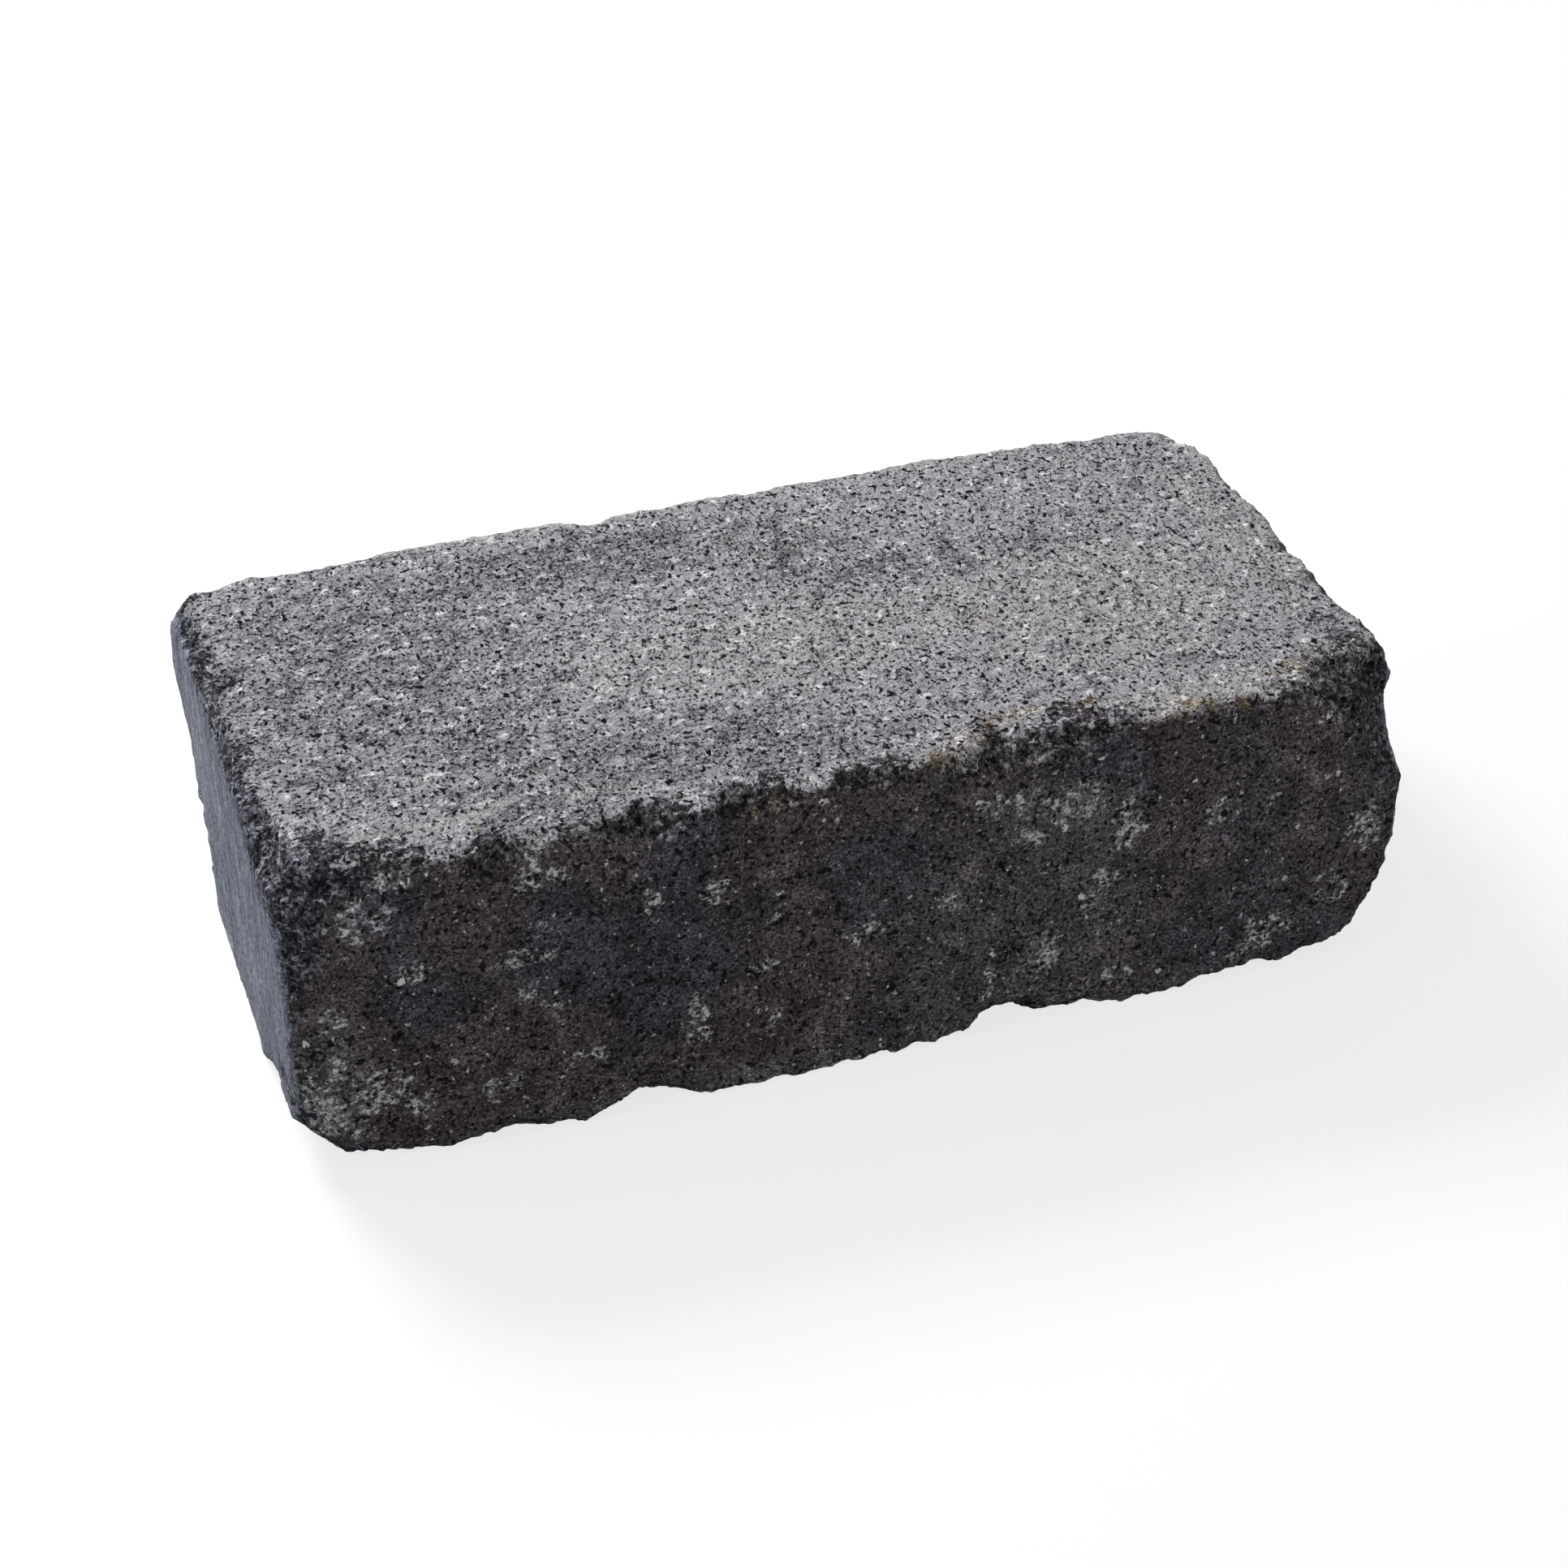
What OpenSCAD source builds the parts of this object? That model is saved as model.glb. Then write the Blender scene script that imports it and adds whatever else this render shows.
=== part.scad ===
// Tumbled concrete wall block: one cast piece whose arrises and corners were
// knocked about in a drum, so they are worn round, scalloped and chipped.
// Millimetres. It lies as it is laid: length on X, width on Y, bed face down,
// origin in the middle of the bottom bed.

/* [Block] */
// Length along the wall face
length = 300; // [180:1:420]
// Width from the wall face to the back
width = 150; // [100:1:260]
// Height between the two bed faces
height = 90; // [70:1:160]

/* [Tumbling wear] */
// Radius worn on every arris, before the flat faces are trimmed
arris_radius = 6.5; // [5:0.5:12]
// Share by which that radius wanders along an arris
wander = 0.45; // [0:0.05:0.6]
// Length over which the wear wanders
wander_pitch = 22; // [12:1:60]
// Depth of the rough relief on broken and worn concrete
relief = 0.9; // [0:0.1:1.5]
// Spacing of that relief
relief_pitch = 9; // [6:0.5:20]
// Scale of every chip's depth
chip_depth = 1; // [0.5:0.05:1.25]
// Choice of the random wear
seed = 8; // [1:1:99]

/* [Hidden] */

// Material outside the cast faces, trimmed away to leave them flat.
spare = 1;
// Depth of the sound core that no wear reaches.
core_depth = 26;
// Distances from an arris of the fine steps of the skin.
fine = [0, 2, 4.6, 8, 13, 19];
// Even steps of the skin between the fine ones: along the length, width, height.
even = [60, 22, 8];

half = [length, width, height] / 2;
grown = half + [spare, spare, spare];
core = half - [core_depth, core_depth, core_depth];

// Arrises, named by the two faces that meet there. The zero is the way it runs.
TOP_FRONT = [0, -1, 1];
TOP_BACK = [0, 1, 1];
TOP_LEFT = [-1, 0, 1];
TOP_RIGHT = [1, 0, 1];
BASE_FRONT = [0, -1, -1];
BASE_BACK = [0, 1, -1];
BASE_LEFT = [-1, 0, -1];
BASE_RIGHT = [1, 0, -1];
FRONT_LEFT = [-1, -1, 0];
FRONT_RIGHT = [1, -1, 0];
BACK_LEFT = [-1, 1, 0];
BACK_RIGHT = [1, 1, 0];

// Corners rounded more than the arrises: corner, added radius, reach.
CORNERS = [
    [[1, -1, -1], 13, 46],
    [[-1, -1, -1], 16, 46],
    [[1, 1, 1], 7, 30],
    [[1, -1, 1], 8, 34],
    [[-1, 1, 1], 6, 24],
    [[-1, -1, 1], 7, 34],
    [[-1, 1, -1], 9, 34],
    [[1, 1, -1], 14, 40],
];

// Chips: arris, place along it from 0 to 1, half length, depth, tilt in
// degrees from the middle of the corner towards the arris's second face.
CHIPS = [
    [TOP_FRONT, 0.04, 28, 8, 15],
    [TOP_FRONT, 0.19, 18, 4, 0],
    [TOP_FRONT, 0.295, 13, 6, 15],
    [TOP_FRONT, 0.39, 10, 5.5, 15],
    [TOP_FRONT, 0.487, 9, 4, 5],
    [TOP_FRONT, 0.627, 16, 7, 20],
    [TOP_FRONT, 0.695, 11, 5, 35],
    [TOP_FRONT, 0.82, 22, 3, 5],
    [TOP_FRONT, 0.965, 22, 11, 12],
    [TOP_BACK, 0.04, 10, 5.5, 0],
    [TOP_BACK, 0.13, 26, 3.5, 0],
    [TOP_BACK, 0.4, 6, 5.5, 0],
    [TOP_BACK, 0.56, 10, 2.6, 0],
    [TOP_BACK, 0.92, 22, 4, 0],
    [TOP_LEFT, 0.13, 24, 6.5, 0],
    [TOP_LEFT, 0.5, 22, 3.5, -5],
    [TOP_LEFT, 0.82, 16, 4.5, 10],
    [TOP_RIGHT, 0.47, 6, 4.5, 0],
    [TOP_RIGHT, 0.3, 22, 3.4, 0],
    [TOP_RIGHT, 0.03, 15, 8, 0],
    [TOP_RIGHT, 0.97, 13, 5.5, 0],
    [TOP_RIGHT, 0.72, 16, 2.4, 0],
    [BASE_FRONT, 0.18, 15, 4.6, 0],
    [BASE_FRONT, 0.3, 13, 7.5, 0],
    [BASE_FRONT, 0.53, 12, 2.4, 0],
    [BASE_FRONT, 0.63, 17, 8.5, 0],
    [BASE_FRONT, 0.7, 12, 5, 0],
    [BASE_FRONT, 0.83, 9, 4, 0],
    [BASE_FRONT, 0.89, 18, 4.6, 0],
    [BASE_BACK, 0.15, 18, 6, 0],
    [BASE_BACK, 0.38, 24, 5, 8],
    [BASE_BACK, 0.66, 15, 6, -5],
    [BASE_BACK, 0.88, 20, 8, 0],
    [BASE_LEFT, 0.16, 28, 11, 0],
    [BASE_LEFT, 0.6, 60, 3, -10],
    [BASE_LEFT, 0.98, 24, 5, 0],
    [BASE_RIGHT, 0.3, 20, 6, 5],
    [BASE_RIGHT, 0.75, 22, 7, 0],
    [FRONT_LEFT, 0.84, 26, 6.5, 18],
    [FRONT_LEFT, 0.35, 14, 3.5, 0],
    [FRONT_RIGHT, 0.86, 20, 11.5, 0],
    [BACK_LEFT, 0.2, 46, 5, -42],
    [BACK_RIGHT, 0.6, 26, 5, 0],
    [BACK_RIGHT, 0.15, 16, 6, 0],
];

// Smooth random field between -1 and 1, from values on a lattice of cells.
CELLS = rands(-1, 1, 997, seed);
function cell(i, j, k) = CELLS[((i * 73 + j * 179 + k * 283) % 997 + 997) % 997];
function ease(t) = t * t * (3 - 2 * t);
function blend(a, b, t) = a + (b - a) * t;
function field(at) =
    let (
        lo = [for (v = at) floor(v)],
        f = [for (i = [0:2]) ease(at[i] - lo[i])],
        row = function (dj, dk) blend(
            cell(lo[0], lo[1] + dj, lo[2] + dk), cell(lo[0] + 1, lo[1] + dj, lo[2] + dk), f[0])
    )
    blend(blend(row(0, 0), row(1, 0), f[1]), blend(row(0, 1), row(1, 1), f[1]), f[2]);

// Componentwise helpers.
function times(a, b) = [for (i = [0:2]) a[i] * b[i]];
function clamp(p, limit) = [for (i = [0:2]) max(-limit[i], min(limit[i], p[i]))];

// Radius of the wear round a point of the sharp block.
function corner_extra(p, corner) =
    corner[1] * (1 - ease(min(1, norm(p - times(corner[0], half)) / corner[2])));
function wear_radius(p) =
    arris_radius * (1 + wander * field(p / wander_pitch))
    + max([for (corner = CORNERS) corner_extra(p, corner)]);

// Share of the way from c to p at which the rounded block's surface is met.
function round_stop(c, p, r, t = 1, left = 7) =
    left == 0 ? t :
    let (
        q = c + t * (p - c),
        over = [for (i = [0:2]) max(0, abs(q[i]) - grown[i] + r)]
    )
    round_stop(c, p, r, t - (norm(over) - r) / norm(p - c), left - 1);

// A chip is a hollow ball taken out of an arris: its middle and its radius.
function outward(arris, tilt) =
    let (
        axes = [for (i = [0:2]) if (arris[i] != 0) i],
        share = [cos(45 + tilt), sin(45 + tilt)]
    )
    [for (i = [0:2]) i == axes[0] ? arris[i] * share[0] : i == axes[1] ? arris[i] * share[1] : 0];
function on_arris(arris, place) =
    [for (i = [0:2]) arris[i] == 0 ? (2 * place - 1) * half[i] : arris[i] * half[i]];
function chip_ball(chip) =
    let (
        depth = chip[3] * chip_depth,
        r = (chip[2] ^ 2 + depth ^ 2) / (2 * depth)
    )
    [on_arris(chip[0], chip[1]) + outward(chip[0], chip[4]) * (r - depth), r];
BALLS = [for (chip = CHIPS) chip_ball(chip)];

// Share of the way from c to p at which the ray enters a ball, or 1.
function ball_stop(c, p, ball) =
    let (
        d = p - c,
        m = c - ball[0],
        a = d * d,
        b = m * d,
        under = b * b - a * (m * m - ball[1] ^ 2)
    )
    under <= 0 || b >= 0 ? 1 : min(1, (-b - sqrt(under)) / a);

// A point of the skin: out from the sound core until the wear or a chip stops it.
function skin(p) =
    let (
        c = clamp(p, core),
        r = wear_radius(p),
        t = min(round_stop(c, p, r), min([for (ball = BALLS) ball_stop(c, p, ball)])),
        q = c + t * (p - c),
        worn = ease(min(1, (1 - t) * norm(p - c) / 3)),
        rough = relief * worn * field(q / relief_pitch + [31, 17, 5])
    )
    q + rough * (p - c) / norm(p - c);

// Places from end to end of a side: fine steps near both ends, even ones between.
function places(size, between) =
    let (last = fine[len(fine) - 1])
    concat(
        [for (u = fine) u - size / 2],
        [for (i = [1:between - 1]) last - size / 2 + (size - 2 * last) * i / between],
        [for (i = [len(fine) - 1:-1:0]) size / 2 - fine[i]]
    );
ALONG_X = places(2 * grown[0], even[0]);
ALONG_Y = places(2 * grown[1], even[1]);
UP = places(2 * grown[2], even[2]);

// The plan outline, counter-clockwise, each side without its last point.
OUTLINE = concat(
    [for (i = [0:len(ALONG_X) - 2]) [ALONG_X[i], -grown[1]]],
    [for (i = [0:len(ALONG_Y) - 2]) [grown[0], ALONG_Y[i]]],
    [for (i = [len(ALONG_X) - 1:-1:1]) [ALONG_X[i], grown[1]]],
    [for (i = [len(ALONG_Y) - 1:-1:1]) [-grown[0], ALONG_Y[i]]]
);
// Rings of the skin: out over the base, up the sides and in over the top.
// Each is its height and how far it is drawn in from the outline.
RINGS = concat(
    [for (i = [len(fine) - 1:-1:1]) [-grown[2], fine[i]]],
    [for (z = UP) [z, 0]],
    [for (i = [1:len(fine) - 1]) [grown[2], fine[i]]]
);
function drawn_in(xy, inset) =
    [xy[0] * (grown[0] - inset) / grown[0], xy[1] * (grown[1] - inset) / grown[1]];

module skin_solid() {
    around = len(OUTLINE);
    rings = len(RINGS);
    shell = [
        for (ring = RINGS, xy = OUTLINE)
            let (inside = drawn_in(xy, ring[1])) skin([inside[0], inside[1], ring[0]])
    ];
    points = concat(shell, [[0, 0, -grown[2]], [0, 0, grown[2]]]);
    base_middle = len(shell);
    top_middle = base_middle + 1;
    last_ring = (rings - 1) * around;
    faces = concat(
        [for (j = [0:rings - 2], i = [0:around - 1], upper = [false, true])
            let (
                a = j * around + i,
                b = j * around + (i + 1) % around
            )
            upper ? [a, b + around, b] : [a, a + around, b + around]],
        [for (i = [0:around - 1]) [base_middle, i, (i + 1) % around]],
        [for (i = [0:around - 1]) [top_middle, last_ring + (i + 1) % around, last_ring + i]]
    );
    polyhedron(points = points, faces = faces, convexity = 4);
}

// The cast block: the worn skin, trimmed to the six flat faces of the mould.
module block() {
    color("dimgray")
        translate([0, 0, half[2]])
            intersection() {
                skin_solid();
                cube([length, width, height], center = true);
            }
}

block();
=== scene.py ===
# %% [markdown]
# # A tumbled concrete wall block
# The real thing is one casting: semi-dry concrete, coloured charcoal, pressed in a steel
# mould and then rolled in a drum with other blocks until its arrises crumbled. Everything
# to see on it comes from those two steps. The mould left six flat faces, and each face took
# its own finish. The drum left a ragged, chipped border round all of them.
# The lesson therefore makes one piece: the cast form is copied from the frame, its broken
# concrete is made rough, and one material finishes each face in its own way.

import bpy
import numpy as np
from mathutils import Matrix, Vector


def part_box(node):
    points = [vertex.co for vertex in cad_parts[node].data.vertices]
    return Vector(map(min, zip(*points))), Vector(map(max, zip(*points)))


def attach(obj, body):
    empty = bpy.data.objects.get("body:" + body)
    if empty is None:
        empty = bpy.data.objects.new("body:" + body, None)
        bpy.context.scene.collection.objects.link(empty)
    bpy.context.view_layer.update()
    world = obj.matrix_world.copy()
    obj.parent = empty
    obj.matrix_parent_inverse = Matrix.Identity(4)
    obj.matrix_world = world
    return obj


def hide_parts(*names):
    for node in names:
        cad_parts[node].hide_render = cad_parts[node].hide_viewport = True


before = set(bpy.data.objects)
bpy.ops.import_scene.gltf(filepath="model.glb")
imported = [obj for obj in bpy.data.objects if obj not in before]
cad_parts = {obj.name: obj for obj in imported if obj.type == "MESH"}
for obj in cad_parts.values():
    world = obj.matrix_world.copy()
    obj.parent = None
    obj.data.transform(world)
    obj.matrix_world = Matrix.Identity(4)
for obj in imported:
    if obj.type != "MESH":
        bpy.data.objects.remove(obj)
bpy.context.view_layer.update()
MM = 0.001
LOW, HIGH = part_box("block")
MIDDLE = (LOW + HIGH) / 2
HALF = (HIGH - LOW) / 2
print("block", [round(2 * side / MM, 1) for side in HALF], "mm")

# %% [markdown]
# ## Small helpers
# An operator works on whatever is selected, and the frame's own solid comes in selected. So
# each step starts by choosing exactly one object. Modifiers are applied as soon as they are
# added, because the finished piece is to be a plain mesh.


# %% Choosing an object and applying a modifier
def choose(piece):
    """Makes the piece the only selected object, and the active one."""
    bpy.ops.object.select_all(action="DESELECT")
    piece.select_set(True)
    bpy.context.view_layer.objects.active = piece


def apply_modifier(piece, kind, **settings):
    """Adds a modifier, sets it up and applies it."""
    choose(piece)
    modifier = piece.modifiers.new(kind.title(), kind)
    for name, value in settings.items():
        setattr(modifier, name, value)
    bpy.ops.object.modifier_apply(modifier=modifier.name)


def report(piece, step):
    """Prints how many triangles the piece has after a step."""
    piece.data.calc_loop_triangles()
    print(f"{step}: {len(piece.data.loop_triangles)} triangles")


# %% [markdown]
# ## The cast form
# The frame's solid is made of long thin triangles, which can't hold fine relief. A copy of it
# is merged and then remeshed: Remesh in voxel mode lays an even net of small squares over any
# closed shape. Subdividing the long triangles would make more long triangles instead.

# %% Copy the casting and lay an even net over it
NET = 1.7 * MM
TOUCHING = 0.01 * MM

block = bpy.data.objects.new("tumbled_block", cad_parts["block"].data.copy())
bpy.context.scene.collection.objects.link(block)
choose(block)
bpy.ops.object.mode_set(mode="EDIT")
bpy.ops.mesh.select_all(action="SELECT")
bpy.ops.mesh.remove_doubles(threshold=TOUCHING)
bpy.ops.object.mode_set(mode="OBJECT")
apply_modifier(block, "REMESH", mode="VOXEL", voxel_size=NET)
report(block, "even net")

# %% [markdown]
# ## Where the concrete is broken
# The mould's six flats are known exactly, so a point's depth under the nearest flat tells
# what happened to it. At no depth it still has its cast skin, and deeper than about a
# millimetre it was knocked off. Beside an arris the skin is only bruised. The upright arris at
# the back left and the whole back were rubbed smooth rather than crumbled, so they get less.
# A vertex group holds the share, and the modifiers that follow read it.


# %% The share of broken concrete at each point
BROKEN_DEPTH = (0.1 * MM, 0.9 * MM)
BRUISED_REACH = (1.5 * MM, 6 * MM)
BRUISED_SHARE = 0.4
RUBBED_ARRIS = (10 * MM, 18 * MM)
RUBBED_BACK = (6 * MM, 20 * MM)
RUBBED_LOSS = 0.65
WEIGHT_STEPS = 100


def places(piece):
    """The places of a piece's points, as rows of x, y, z in metres."""
    found = np.empty(len(piece.data.vertices) * 3, np.float32)
    piece.data.vertices.foreach_get("co", found)
    return found.reshape(-1, 3)


def rise(values, low, high):
    """From 0 at low to 1 at high, with soft ends."""
    share = np.clip((values - low) / (high - low), 0, 1)
    return share * share * (3 - 2 * share)


def crumbled(points):
    """0 on the flats, 1 where the concrete is broken, and some of both beside an arris."""
    inward = np.sort(np.array(HALF) - np.abs(points - np.array(MIDDLE)), axis=1)
    broken = rise(inward[:, 0], *BROKEN_DEPTH)
    bruised = BRUISED_SHARE * (1 - rise(inward[:, 1], *BRUISED_REACH))
    from_back = HIGH.y - points[:, 1]
    from_back_left = np.hypot(points[:, 0] - LOW.x, from_back)
    spared = np.minimum(rise(from_back_left, *RUBBED_ARRIS), rise(from_back, *RUBBED_BACK))
    return np.maximum(broken, bruised) * (1 - RUBBED_LOSS * (1 - spared))


def weigh(piece, name, weights):
    """Stores one weight a point as a vertex group, in even steps."""
    group = piece.vertex_groups.get(name) or piece.vertex_groups.new(name=name)
    for step in range(WEIGHT_STEPS + 1):
        members = np.flatnonzero(np.round(weights * WEIGHT_STEPS) == step)
        group.add(members.tolist(), step / WEIGHT_STEPS, "REPLACE")


weigh(block, "worn", crumbled(places(block)))
print("broken or bruised", int((crumbled(places(block)) > 0).sum()), "points")

# %% [markdown]
# ## A finer net where it is broken
# Crumbled concrete needs points closer than a millimetre, and the flats don't. So the faces
# near the arrises are selected by their weight and subdivided once. That spends the triangles
# where the outline shows them. The net also left small saw teeth on every slope, and Smooth
# takes them off before and after.

# %% Smooth the saw teeth and subdivide the broken faces
FINER_FROM = 0.1


def face_middles(piece):
    """The middles of a piece's faces, as rows of x, y, z in metres."""
    found = np.empty(len(piece.data.polygons) * 3, np.float32)
    piece.data.polygons.foreach_get("center", found)
    return found.reshape(-1, 3)


def select_faces(piece, chosen):
    """Selects exactly these faces in edit mode, given as one truth value a face."""
    choose(piece)
    bpy.ops.object.mode_set(mode="EDIT")
    bpy.ops.mesh.select_mode(type="FACE")
    bpy.ops.mesh.select_all(action="DESELECT")
    bpy.ops.object.mode_set(mode="OBJECT")
    piece.data.polygons.foreach_set("select", chosen)
    bpy.ops.object.mode_set(mode="EDIT")


apply_modifier(block, "SMOOTH", factor=0.5, iterations=5, vertex_group="worn")
select_faces(block, crumbled(face_middles(block)) > FINER_FROM)
bpy.ops.mesh.subdivide(number_cuts=1, smoothness=0)
bpy.ops.object.mode_set(mode="OBJECT")
weigh(block, "worn", crumbled(places(block)))
apply_modifier(block, "SMOOTH", factor=0.5, iterations=2, vertex_group="worn")
report(block, "finer net on the arrises")

# %% [markdown]
# ## Crumbled relief
# Broken concrete is rough at three sizes: hollows of several millimetres where flakes were
# knocked out, lumps where the mortar tore, and grit of one to two millimetres where single
# grains stand out. Displace moves the points along their normals by a texture's value, once
# for each size, and the weights keep it to the broken parts. The flats stay nearly even. Only
# the two bed faces are open and a little lumpy, as semi-dry concrete never fills its mould
# quite closely there.


# %% Displace by textures of each size
def roughen(piece, name, size, height, group="", kind="CLOUDS", **settings):
    """Raises and lowers the surface by lumps of this size, up to half the height each way."""
    texture = bpy.data.textures.new(name, kind)
    texture.noise_scale = size
    for key, value in settings.items():
        setattr(texture, key, value)
    apply_modifier(piece, "DISPLACE", texture=texture, texture_coords="LOCAL", mid_level=0.5,
                   strength=height, vertex_group=group)


roughen(block, "knocked_out_flakes", size=7 * MM, height=2.6 * MM, group="worn",
        kind="VORONOI")
roughen(block, "torn_mortar", size=5 * MM, height=1.6 * MM, group="worn", noise_depth=2)
roughen(block, "standing_grit", size=1.8 * MM, height=0.8 * MM, group="worn", noise_depth=0)
roughen(block, "uneven_cast", size=3 * MM, height=0.5 * MM, noise_depth=1)
weigh(block, "beds", rise(np.abs(places(block)[:, 2] - MIDDLE.z), HALF.z - MM, HALF.z))
roughen(block, "open_beds", size=4 * MM, height=2 * MM, group="beds", noise_depth=1)
print("roughened", [texture.name for texture in bpy.data.textures])

# %% [markdown]
# ## Back inside the mould
# Noise also pushes points outwards, but nothing on a cast block can stand past the mould. So
# every point is pressed back to the flats, which leaves them flat and keeps the block's size.

# %% Press the block back into the mould
points = places(block)
inside = np.clip(points, np.array(LOW), np.array(HIGH))
block.data.vertices.foreach_set("co", inside.ravel())
block.data.update()
choose(block)
bpy.ops.object.shade_smooth()
print("pressed back", int((points != inside).any(axis=1).sum()), "points")

# %% [markdown]
# ## Marks given as lists
# Five kinds of mark are laid here: limy crusts, dark soiled stretches, rusty sand, coarse open
# stretches of the beds and pale dusty ones. They don't follow from the shape, because they came
# from how this block was pressed, stacked and wetted, except that the dark stretches also hold
# painted shadow where chips and a low corner of the left end lie in shade. Painting them on an
# image would fix them to one size of picture. Here each kind is a short list of ovals, placed in
# millimetres from the lower left corner of a face, and noise in the material tears their borders
# later.
# The first kind is lime. Water carries it out of the concrete, and it dries as pale crusts
# of open grain, scattered over the walls and along the arrises.

# %% Limy crusts on each kind of face
# Each oval is its middle along and up the face, its width, its height and its strength.
LIMY = {
    "wall": [
        (20, 77, 18, 12, 0.9), (63, 81, 22, 10, 0.8), (92, 66, 5, 16, 0.8), (100, 85, 8, 5, 0.6),
        (108, 65, 10, 9, 0.8), (66, 66, 7, 6, 0.7), (60, 57, 16, 7, 0.8), (30, 60, 12, 8, 0.7),
        (12, 50, 10, 9, 0.5), (12, 36, 9, 8, 0.7), (20, 26, 24, 15, 1.0), (30, 18, 12, 8, 0.8),
        (52, 18, 13, 8, 0.9), (74, 21, 13, 8, 0.9), (65, 40, 6, 8, 0.6), (60, 47, 9, 7, 0.5),
        (103, 26, 7, 18, 0.9), (122, 40, 6, 10, 0.8), (122, 22, 9, 15, 0.6),
        (148, 43, 13, 9, 1.0), (123, 54, 7, 6, 0.6), (170, 47, 14, 7, 0.9),
        (186, 74, 18, 9, 0.9), (204, 70, 20, 12, 1.0), (193, 62, 12, 6, 1.1),
        (221, 60, 11, 17, 1.1), (215, 44, 9, 12, 0.9), (210, 35, 6, 10, 0.7),
        (198, 22, 10, 16, 1.0), (183, 17, 6, 14, 1.0), (220, 12, 12, 8, 0.6),
        (248, 58, 12, 9, 0.6), (263, 15, 16, 12, 1.0), (282, 24, 10, 16, 0.8),
        (290, 43, 13, 17, 0.8), (280, 86, 20, 4, 1.3), (277, 81, 13, 4, 1.3),
        (292, 77, 9, 16, 1.2), (160, 8, 10, 6, 0.4), (256, 10, 10, 6, 0.5), (28, 86, 14, 4, 0.9),
        (5, 22, 12, 32, 1.0), (12, 14, 14, 10, 0.8)],
    "bed": [
        (25, 3, 12, 5, 0.7), (44, 10, 8, 6, 0.5), (64, 3, 8, 5, 0.9), (70, 9, 7, 5, 0.8),
        (105, 9, 14, 6, 0.8), (135, 4, 9, 6, 1.1), (144, 9, 8, 5, 0.6), (165, 13, 13, 8, 1.1),
        (176, 7, 15, 15, 1.1), (183, 1, 14, 5, 1.1), (190, 9, 5, 6, 0.8), (195, 15, 13, 6, 0.8),
        (231, 4, 9, 6, 0.9), (222, 12, 12, 6, 0.4), (250, 14, 14, 8, 0.4), (281, 5, 6, 4, 1.1),
        (272, 13, 6, 5, 1.1), (258, 8, 14, 6, 0.3), (182, 134, 12, 18, 0.8),
        (222, 124, 20, 10, 0.5), (120, 88, 12, 10, 0.5)],
    "end": [(6, 30, 6, 20, 0.5), (70, 84, 16, 5, 0.5)],
}
print("limy ovals", {face: len(ovals) for face, ovals in LIMY.items()})

# %% [markdown]
# Where the drum tore the bed's grey skin away, the dark concrete inside shows. It makes a
# dark, uneven border along the front and the ends of the beds and round the corners. Some
# of the sand there holds iron, which stains the border with a little rust. The dark ovals
# also paint shadow: into the chips along that border, where shade falls, and onto a low
# corner of the left end that lies in shade.

# %% Soiled and shadowed stretches, and rusty ones
# Dark ovals: partly bared dark concrete, partly painted shadow in chips and a shaded corner.
SOILED_AND_SHADOWED = {
    "wall": [(5, 80, 20, 34, 1.0), (18, 88, 26, 7, 0.9), (50, 87, 12, 12, 0.8),
             (199, 87, 30, 13, 1.0), (288, 85, 28, 16, 1.0), (118, 89, 16, 5, 0.7)],
    "bed": [
        (4, 12, 14, 34, 1.0), (14, 15, 14, 22, 1.0), (25, 11, 18, 9, 0.9), (34, 6, 14, 10, 0.8),
        (54, 3, 18, 14, 0.9), (74, 4, 14, 9, 0.6), (86, 2, 14, 10, 0.8), (97, 6, 16, 12, 0.9),
        (120, 3, 30, 13, 0.9), (127, 9, 10, 8, 0.8), (145, 5, 12, 9, 0.8), (155, 3, 14, 15, 1.0),
        (168, 2, 12, 9, 0.7), (184, 9, 12, 17, 0.8), (196, 3, 16, 15, 1.0), (209, 8, 18, 21, 1.0),
        (220, 5, 12, 13, 0.7), (246, 3, 14, 7, 0.6), (264, 4, 12, 13, 0.9), (281, 8, 22, 27, 0.9),
        (287, 32, 12, 11, 0.5), (290, 18, 12, 24, 0.9), (5, 141, 12, 6, 1.0),
        (1, 128, 7, 12, 1.0), (3, 113, 10, 24, 1.0), (5, 96, 13, 14, 0.8), (0, 80, 4, 20, 1.0),
        (3, 61, 9, 18, 1.0), (2, 44, 8, 18, 1.0)],
    "end": [(19, 86, 56, 28, 1.0), (60, 90, 100, 13, 1.0), (122, 91, 70, 10, 1.0),
            (12, 24, 24, 9, 0.8)],
}
RUSTY = {
    "wall": [(125, 86, 16, 7, 0.5), (186, 90, 10, 4, 0.6), (23, 72, 9, 6, 0.4),
             (276, 82, 16, 5, 0.6)],
    "bed": [(168, 4, 14, 7, 0.9), (178, 9, 13, 12, 0.8), (188, 14, 9, 9, 0.8),
            (196, 16, 11, 5, 0.8), (214, 14, 14, 6, 0.7), (240, 5, 14, 6, 1.0),
            (252, 3, 7, 6, 0.9), (230, 2, 14, 4, 0.8), (271, 13, 6, 8, 1.2),
            (266, 12, 12, 4, 0.6)],
}
print("soiled ovals", {face: len(ovals) for face, ovals in SOILED_AND_SHADOWED.items()})

# %% [markdown]
# A press fills its mould unevenly. Where a bed got too little fine mortar it stays coarse,
# darker and full of gaps, and where it got plenty it is closed and pale, as if dusted. The
# walls and the ends have such dusty stretches too, most of all along their foot.

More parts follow.
